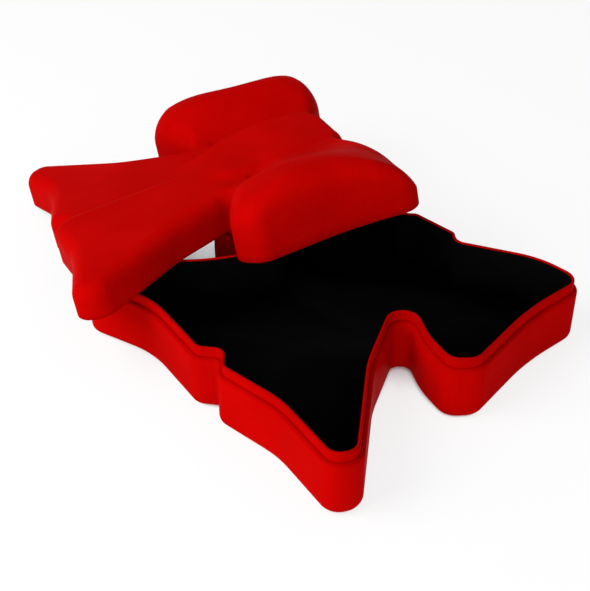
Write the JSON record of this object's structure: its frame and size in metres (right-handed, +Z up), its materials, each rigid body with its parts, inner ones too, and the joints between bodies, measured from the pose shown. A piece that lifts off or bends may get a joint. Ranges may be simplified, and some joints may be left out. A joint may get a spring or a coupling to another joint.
{
  "type": "bow-shaped lidded gift box",
  "caption": "Moulded red leather box in the outline of a ribbon bow, lined in black, with a standing collar and a loose lid shaped as the tied bow, taken off and leaning on the tray.",
  "frame": {"origin": "on the table, under the middle of the tray", "axes": "+Z up, +Y up the bow from its tails to its knot, +X towards the right-hand loop"},
  "size_m": [0.248, 0.1828, 0.0645],
  "materials": {
    "red_leather": "satin wet-moulded leather, dyed red",
    "black_suede": "matt suede",
    "grey_board": "pressed paper board"
  },
  "bodies": {
    "base": {"base_shell": "red_leather", "base_collar": "red_leather", "base_wall_lining": "black_suede", "base_floor_board": "grey_board", "base_floor_lining": "black_suede"},
    "lid": {"lid_shell": "red_leather", "lid_lining": "black_suede"}
  },
  "joints": [
    {"name": "lid_lift", "type": "slide", "parent": "base", "child": "lid", "axis": [0, 0, 1], "range_m": [0, 0.12]}
  ]
}
